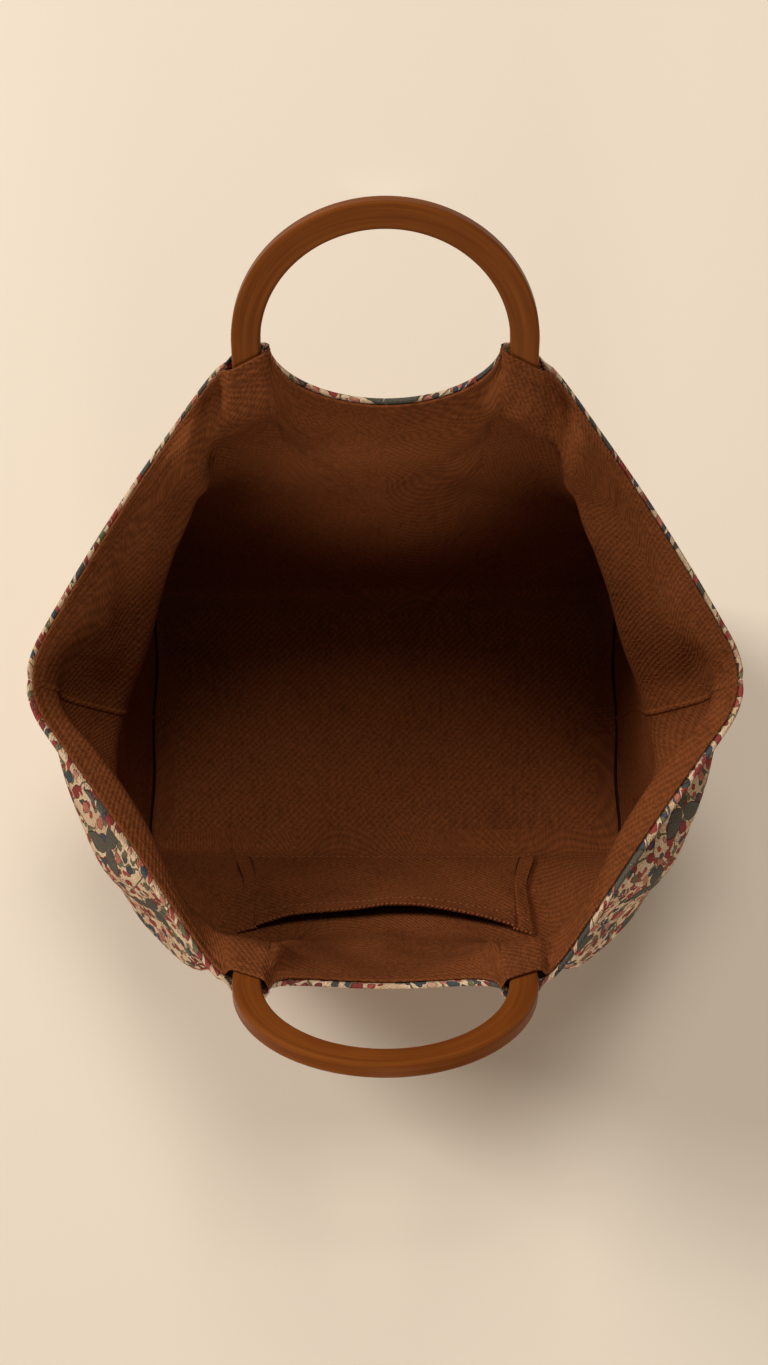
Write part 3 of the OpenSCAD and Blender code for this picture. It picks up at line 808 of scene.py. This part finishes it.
HEM_DEPTH = 9.0
HEM_STEP = 2.0
HEM_BULK = 0.5
STITCH_DEPTH = 5.0
STITCH_WIDTH = 1.3
STITCH_PULL = 0.6
LINING_PULL = 0.4
PEAK_DROP = 0.016
PEAK_WIDTH = 0.2
SEAM_PULL = 1.3
SEAM_WIDTH = 0.022
LINING_TOP = HIGHEST - BARE_EDGE

panel_heights = spread(np.array([LOWEST, 0, 0.24, 0.5, 0.9, HIGHEST]), (7, 26, 26, 40, 20))[None, :]
lining_heights = spread(np.array([LOWEST, 0, 0.24, 0.5, 0.9, LINING_TOP]), (7, 24, 24, 36, 14))[None, :]


def hem(face, bulk, pull):
    """Extra thickness near a top edge: bulk over the turned hem, less a bell-shaped groove where its stitches
    pull it in."""
    below = lengths(face[:, ::-1], 1)[:, ::-1]
    turned = bulk * smooth(HEM_DEPTH + HEM_STEP, HEM_DEPTH - HEM_STEP, below)
    return turned - pull * bell((below - STITCH_DEPTH) / STITCH_WIDTH)


def tapestry_panel(name, stations, node):
    """One tapestry panel: the outer layer of the wall, with a turned hem that lies lower at the peaks, two
    stations from the side, and with its side edges pulled in at the seam."""
    w = stations[:, None]
    half = half_station(w)
    lowered = PEAK_DROP * bell((np.abs(half - SIDE_STATION) - 2) / PEAK_WIDTH)
    heights = panel_heights - lowered * smooth(0.8, 1, panel_heights)
    inner = layer(w, heights, 1, 0)
    normal = wall_normal(w, heights)
    pulled = SEAM_PULL * bell((half - SEAM_STATION) / SEAM_WIDTH) * smooth(0, 0.1, heights)
    thick = TAPESTRY_THICKNESS + hem(inner, HEM_BULK, STITCH_PULL) - pulled
    obj = sheet(name, inner + normal * thick[..., None], inner, False, TAPESTRY)
    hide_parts(node)
    return obj


back_right = spread(np.array([0, 1, 2, 2.88, SEAM_STATION - SEAM_HALF]), (22, 14, 50, 9))
front_right = spread(np.array([SEAM_STATION + SEAM_HALF, 3.1, 4, 5, 6]), (9, 50, 14, 22))
tapestry_back = tapestry_panel(
    "tapestry_back", np.concatenate([-back_right[:0:-1], back_right]), "outer_back_panel")
tapestry_front = tapestry_panel(
    "tapestry_front", np.concatenate([front_right, LAP - front_right[-2::-1]]), "outer_front_panel")

loop = spread(np.arange(LAP + 1), (19, 12, 50, 50, 12, 19) * 2)


def lining_sheet():
    """The lining: the wall's inner layer, with a turned top edge that its stitches pull to the tapestry."""
    w = loop[:, None]
    outer = layer(w, lining_heights, -1, 0)
    thick = LINING_THICKNESS + hem(outer, HEM_BULK, LINING_PULL)
    inner = outer - wall_normal(w, lining_heights) * thick[..., None]
    obj = sheet("lining_canvas", outer, inner, True, CANVAS)
    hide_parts("lining")
    return obj


lining = lining_sheet()


# Pocket on the front wall

CORNER_SPAN = 0.42
NEAR_CENTRE = 1.0
HEM_BAND = 0.14
HEM_BAND_STEP = 0.02
HEM_BAND_BULK = 0.9
MOUTH_RIPPLE = 1.2
RIPPLE_RATE = 7.5
RIPPLE_PHASE = 0.6
SIDE_FOLD = 5.0
SIDE_STEP = 1.0
SIDE_BULK = 1.1
SIDE_GROOVE = 0.8
GROOVE_WIDTH = 0.9


def pocket_station(x):
    """Station of the front wall's base at a distance from its centre line: straight runs from the centre to
    the peak, the tunnel's end and the base's corner."""
    return np.where(
        x <= SLOT_IN, 6 - x / SLOT_IN,
        np.where(x <= SLOT_OUT, 5 - (x - SLOT_IN) / (SLOT_OUT - SLOT_IN),
                 4 - CORNER_SPAN * (x - SLOT_OUT) / (HALF_WIDTH - SLOT_OUT)))


def pocket_face(share, rise, lift):
    """The lining's inner face under the pocket, moved inwards: share runs -1 to 1 across and rise 0 to 1 up
    it. The station is found for a wanted x by one step: x times x over the x that the first station gives."""
    wanted = np.abs(share) * POCKET_WIDTH / 2
    x = np.maximum(wanted, NEAR_CENTRE)
    height = POCKET_ROWS[0] + (POCKET_ROWS[1] - POCKET_ROWS[0]) * rise
    station = pocket_station(x * x / wall(pocket_station(x), height)[..., 0])
    station = np.where(wanted < NEAR_CENTRE, LAP / 2, station)
    station = np.where(share > 0, station, LAP - station)
    return layer(station, height, -1, LINING_THICKNESS + POCKET_GAP + lift)


def pocket_patch():
    """The pocket: a patch that gapes as (1 - s^4) t^2 towards its mouth, s being the share across and t the
    rise, with a thicker hem and a few slow ripples along the mouth, and with a folded band down each side
    that ends in a groove where it is sewn."""
    share = spread(np.array([-1, -0.9, 0.9, 1]), (24, 90, 24))[:, None]
    rise = np.linspace(0, 1, 61)[None, :]
    gape = POCKET_GAPE * (1 - share ** 4) * rise ** 2
    ripple = MOUTH_RIPPLE * np.sin(RIPPLE_RATE * share + RIPPLE_PHASE)
    gape = gape + ripple * (1 - share ** 2) * rise ** 3
    edge = (1 - np.abs(share)) * POCKET_WIDTH / 2
    fold = SIDE_BULK * smooth(SIDE_FOLD + SIDE_STEP, SIDE_FOLD - SIDE_STEP, edge)
    band = HEM_BAND_BULK * smooth(1 - HEM_BAND - HEM_BAND_STEP, 1 - HEM_BAND + HEM_BAND_STEP, rise)
    bulk = np.maximum(band, fold) - SIDE_GROOVE * bell((edge - SIDE_FOLD - SIDE_STEP) / GROOVE_WIDTH)
    back = pocket_face(share, rise, gape)
    front = pocket_face(share, rise, gape + POCKET_THICKNESS + bulk)
    n, m = back.shape[:2]
    index = np.arange(n * m).reshape(n, m)
    uv = np.stack([lengths(back, 0), lengths(back, 1)], -1)
    off = n * m
    patches = [quads(index, uv), flipped(quads(index + off, uv), -1)]
    for line, places, turn in ((index[0], uv[0], 1), (index[-1], uv[-1], -1), (index[:, 0], uv[:, 0], -1),
                               (index[:, -1], uv[:, -1], 1)):
        strip = quads(np.stack([line, line + off]), np.stack([places, places]))
        patches.append(flipped(strip, turn))
    points = np.concatenate([back.reshape(-1, 3), front.reshape(-1, 3)])
    obj = piece("pocket_canvas", points, patches, CANVAS)
    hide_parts("inner_pocket")
    return obj, front, unit(front - back)


pocket, pocket_front, pocket_out = pocket_patch()


# Handles

FLAT_HOLD = 0.4


def band_section():
    """Rounded rectangle, as wide as the band and as high as the board is thick: the four corners' arcs, each
    with a point just past both its ends that holds the flat sides flat."""
    turn = np.linspace(0, math.pi / 2, 7)[None, :] + np.array([0, 1, 2, 3])[:, None] * math.pi / 2
    corner = np.array([[1, 1], [-1, 1], [-1, -1], [1, -1]])
    middle = corner * np.array([HANDLE_BAND / 2 - HANDLE_EDGE, HANDLE_THICKNESS / 2 - HANDLE_EDGE])
    arcs = middle[:, None] + HANDLE_EDGE * np.stack([np.cos(turn), np.sin(turn)], -1)
    ends = np.stack([-np.sin(turn), np.cos(turn)], -1) * FLAT_HOLD
    arcs = np.concatenate([arcs[:, :1] - ends[:, :1], arcs, arcs[:, -1:] + ends[:, -1:]], axis=1)
    return arcs.reshape(-1, 2)


def bent_handle(name, peak, lean, rise, node):
    """A wooden handle: the rounded band carried up one limb, round half a circle and down the other limb."""
    limb = np.linspace(-LIMB_LENGTH, 0, 12, endpoint=False)
    angle = np.linspace(0, math.pi, 97)
    x = LIMB_X * np.concatenate([np.ones_like(limb), np.cos(angle), -np.ones_like(limb)])
    z = np.concatenate([limb, LIMB_X * np.sin(angle), limb[::-1]])
    straight = np.tile([1.0, 0.0], (len(limb), 1))
    side = np.concatenate([straight, np.stack([np.cos(angle), np.sin(angle)], -1), -straight])
    across = point(1, 0, 0)
    facing = np.cross(lean, across)
    start = peak * point(0, 1, 1) + rise * lean
    path = start + x[:, None] * across + z[:, None] * lean
    outward = side[:, :1] * across + side[:, 1:] * lean
    grid = swept(path, np.broadcast_to(facing, path.shape), outward, band_section())
    obj = bar(name, grid, WOOD)
    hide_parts(node)


bent_handle("handle_back", BACK_PEAK, BACK_DIR, BACK_RISE, "back_handle")
bent_handle("handle_front", FRONT_PEAK, FRONT_DIR, FRONT_RISE, "front_handle")


# Stitching and seams

# Each stitch's length, the gap after it and its thread's radius
EDGE_STITCH = (2.4, 0.5, 0.75)
RIM_STITCH = (3.2, 1.4, 0.4)
POCKET_STITCH = (3.0, 0.9, 0.55)
EDGE_SEAT = 0.6
SIDE_COLUMN = 14
# A seam ridge's half width and height, and how deep it lies in the lining
SEAM_RIDGE = (2.0, 1.0)
SEAM_SINK = 0.1
SIDE_SEAM_SPAN = (0.03, 0.965)
BOX_SEAM_SPAN = (2.46, 3.54)
BOX_SEAM_RISE = 0.016
BOX_SEAM_SWAY = 0.010
BOX_SEAM_RATE = 13.0


def line_on(stations, heights, side, depth):
    """A path along the wall's layer and the normal that stands off it on that side."""
    return layer(stations, heights, side, depth), side * wall_normal(stations, heights)


def below_rim(stations, depth):
    """Height of the wall a depth below the rim at each station, by the wall's slope just under the rim."""
    step = 0.04
    climb = wall(stations, np.array(HIGHEST)) - wall(stations, np.array(HIGHEST - step))
    return HIGHEST - depth * step / np.linalg.norm(climb, axis=-1)


def rim_stitching():
    """A close row of stitches over the lining's top edge, and a row of topstitching outside, on the
    tapestry."""
    stations = spread(np.arange(LAP + 1), (60, 40, 160, 160, 40, 60) * 2)
    inside = line_on(stations, np.full_like(stations, LINING_TOP), -1, LINING_THICKNESS * EDGE_SEAT)
    groove = TAPESTRY_THICKNESS + HEM_BULK - STITCH_PULL
    outside = line_on(stations, below_rim(stations, STITCH_DEPTH), 1, groove)
    return [stitches("edge_stitching", [inside], *EDGE_STITCH, THREAD, "lining_canvas"),
            stitches("rim_stitching", [outside], *RIM_STITCH, THREAD, "tapestry")]


def pocket_stitching():
    """Light rows of stitches along the pocket's foot, under its hem and over its mouth's edge, the last
    partly a painted highlight on the hem's fold, and dark rows in the grooves down its sides, their dark
    thread painted shade there."""
    m = pocket_front.shape[1]
    light = [(pocket_front[:, row], pocket_out[:, row]) for row in (1, int((1 - HEM_BAND) * (m - 1)) + 2)]
    dark = [(pocket_front[column], pocket_out[column]) for column in (SIDE_COLUMN, -1 - SIDE_COLUMN)]
    mouth = pocket_front[:, -1] - pocket_out[:, -1]
    upward = unit(pocket_front[:, -1] - pocket_front[:, -2])
    return [stitches("pocket_stitching", light, *POCKET_STITCH, THREAD, "lining_canvas"),
            # Painted shade: these rows' dark thread darkens the pocket's side grooves.
            stitches("pocket_side_stitching_shade", dark, *POCKET_STITCH, GROOVE_SHADE_THREAD, "lining_canvas"),
            # Partly painted highlight: the close light stitches over the mouth's edge stand for light on the
            # hem's rounded fold, as well as being stitching.
            stitches("pocket_edge_stitching_highlight", [(mouth, upward)], *EDGE_STITCH, THREAD, "lining_canvas")]


def seam_ridge(name, stations, heights, material):
    """A sewn seam in the lining: a low half oval carried along a path on the lining's face."""
    path, normal = line_on(stations, heights, -1, LINING_THICKNESS - SEAM_SINK)
    along = unit(np.gradient(path, axis=0))
    turn = np.linspace(0, 2 * math.pi, 10, endpoint=False)
    section = np.stack([SEAM_RIDGE[0] * np.cos(turn), SEAM_RIDGE[1] * np.sin(turn)], -1)
    return bar(name, swept(path, normal, np.cross(along, normal), section), material)


rim_threads = rim_stitching()
pocket_threads = pocket_stitching()
side_rows = np.linspace(*SIDE_SEAM_SPAN, 120)
side_columns = np.full_like(side_rows, SIDE_STATION)
box_columns = np.linspace(*BOX_SEAM_SPAN, 90)
box_rows = BOX_SEAM_RISE + BOX_SEAM_SWAY * np.sin(BOX_SEAM_RATE * box_columns)
seam_pieces = [
    seam_ridge("side_seam_right", side_columns, side_rows, CANVAS),
    seam_ridge("side_seam_left", LAP - side_columns, side_rows, CANVAS),
    # Painted shadow: the boxed seams' ridges are drawn in the dark cloth that stands for the shade in their
    # gap.
    seam_ridge("boxed_seam_shadow_right", box_columns, box_rows, SEAM_SHADOW_CLOTH),
    seam_ridge("boxed_seam_shadow_left", LAP - box_columns, box_rows, SEAM_SHADOW_CLOTH)]


# Floor, light and colour

FLOOR_HALF = 4.0
FLOOR_COLOUR = "#F4E3CC"
SKY_COLOUR = "#FFF8EE"
SKY_STRENGTH = 0.2
BACKDROP_COLOUR = "#EFE0CA"
# Soft boxes: place, size and watts. Beams: place, target, lamp radius, cone in degrees and watts. In metres.
LAMP_TARGET = (0.0, -0.03, 0.15)
LAMP_UP = (0.0, 1.0, 0.2)
BOXES = {"key": ((-3.9, 1.8, 3.5), 1.7, 186.0), "top": ((0.1, 1.3, 3.5), 1.1, 45.0)}
BEAMS = {"front": ((0.2, -3.1, 0.6), LAMP_TARGET, 0.4, 30.0, 130.0),
         "inside": ((0.0, -1.6, 2.3), (0.0, 0.12, 0.19), 0.03, 4.2, 135.0)}


def place_lamp(name, lamp, place, target):
    """Puts a lamp at a place, turned so that it shines at the target."""
    toward = unit(np.array(place) - np.array(target))
    side = unit(np.cross(LAMP_UP, toward))
    set_pose(new_object(name, lamp), side, np.cross(toward, side), toward, place)


def studio():
    """A plain pale floor, an even pale sky, a large soft box above and behind on the left, one overhead, a
    wide low beam from the front and a narrow one into the bag."""
    corners = np.array([[-1, -1], [1, -1], [1, 1], [-1, 1]]) * FLOOR_HALF
    mesh = bpy.data.meshes.new("studio_floor")
    mesh.from_pydata(np.column_stack([corners, np.zeros(4)]).tolist(), [], [[0, 1, 2, 3]])
    floor = new_object("studio_floor", mesh)
    paper, _, shader = new_material("matt paper backdrop")
    shader.inputs["Base Color"].default_value = linear(FLOOR_COLOUR)
    shader.inputs["Roughness"].default_value = 0.95
    mesh.materials.append(paper)

    world = bpy.data.worlds.new("studio")
    bpy.context.scene.world = world
    world.use_nodes = True
    tree = world.node_tree
    tree.nodes.clear()
    rays = add(tree, "ShaderNodeLightPath").outputs
    sky = add(tree, "ShaderNodeBackground", {"Color": linear(SKY_COLOUR), "Strength": SKY_STRENGTH})
    backdrop = add(tree, "ShaderNodeBackground", {"Color": linear(BACKDROP_COLOUR), "Strength": 1.0})
    shown = add(tree, "ShaderNodeMixShader", {0: rays["Is Camera Ray"], 1: sky, 2: backdrop})
    add(tree, "ShaderNodeOutputWorld", {"Surface": shown})
    for name, (place, size, power) in BOXES.items():
        lamp = bpy.data.lights.new(name, "AREA")
        lamp.size = size
        lamp.energy = power
        place_lamp(name, lamp, place, LAMP_TARGET)
    for name, (place, target, radius, cone, power) in BEAMS.items():
        lamp = bpy.data.lights.new(name, "SPOT")
        lamp.shadow_soft_size = radius
        lamp.spot_size = math.radians(cone)
        lamp.spot_blend = 1.0
        lamp.energy = power
        lamp.specular_factor = 0.0
        place_lamp(name, lamp, place, target)
    bpy.context.scene.view_settings.view_transform = "Standard"


studio()
